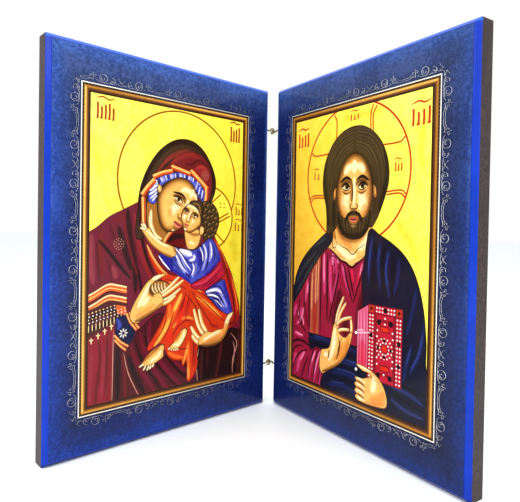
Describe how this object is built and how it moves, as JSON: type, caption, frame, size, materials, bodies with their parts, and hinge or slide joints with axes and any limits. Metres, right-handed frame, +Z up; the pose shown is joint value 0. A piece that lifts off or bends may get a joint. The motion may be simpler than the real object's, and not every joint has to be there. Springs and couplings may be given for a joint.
{
  "type": "two-leaf folding icon",
  "caption": "Two tall chamfered boards with printed devotional pictures, linked by brass screw eyes so they swing like a book and stand open.",
  "frame": {"origin": "on the table, under the middle of the object's box as it stands open", "axes": "+Z up, +X to the viewer's right, +Y away from the viewer, towards the hinge; the printed faces look towards -Y"},
  "size_m": [0.2008, 0.1156, 0.2],
  "materials": {
    "painted_board": "blue painted chamfer and dark brown painted sides and back on fibreboard",
    "brass_wire": "bright bent wire, slightly dulled",
    "printed_face": "colour print under a glossy clear coat"
  },
  "bodies": {
    "left_leaf": {"left_board": "painted_board", "left_lower_eye": "brass_wire", "left_upper_eye": "brass_wire"},
    "right_leaf": {"right_board": "painted_board", "right_lower_eye": "brass_wire", "right_upper_eye": "brass_wire"}
  },
  "joints": [
    {"name": "leaf_hinge", "type": "hinge", "parent": "left_leaf", "child": "right_leaf", "pos_m": [0, 0.05581, 0.1], "axis": [0, 0, 1], "range_deg": [-35, 195]}
  ]
}
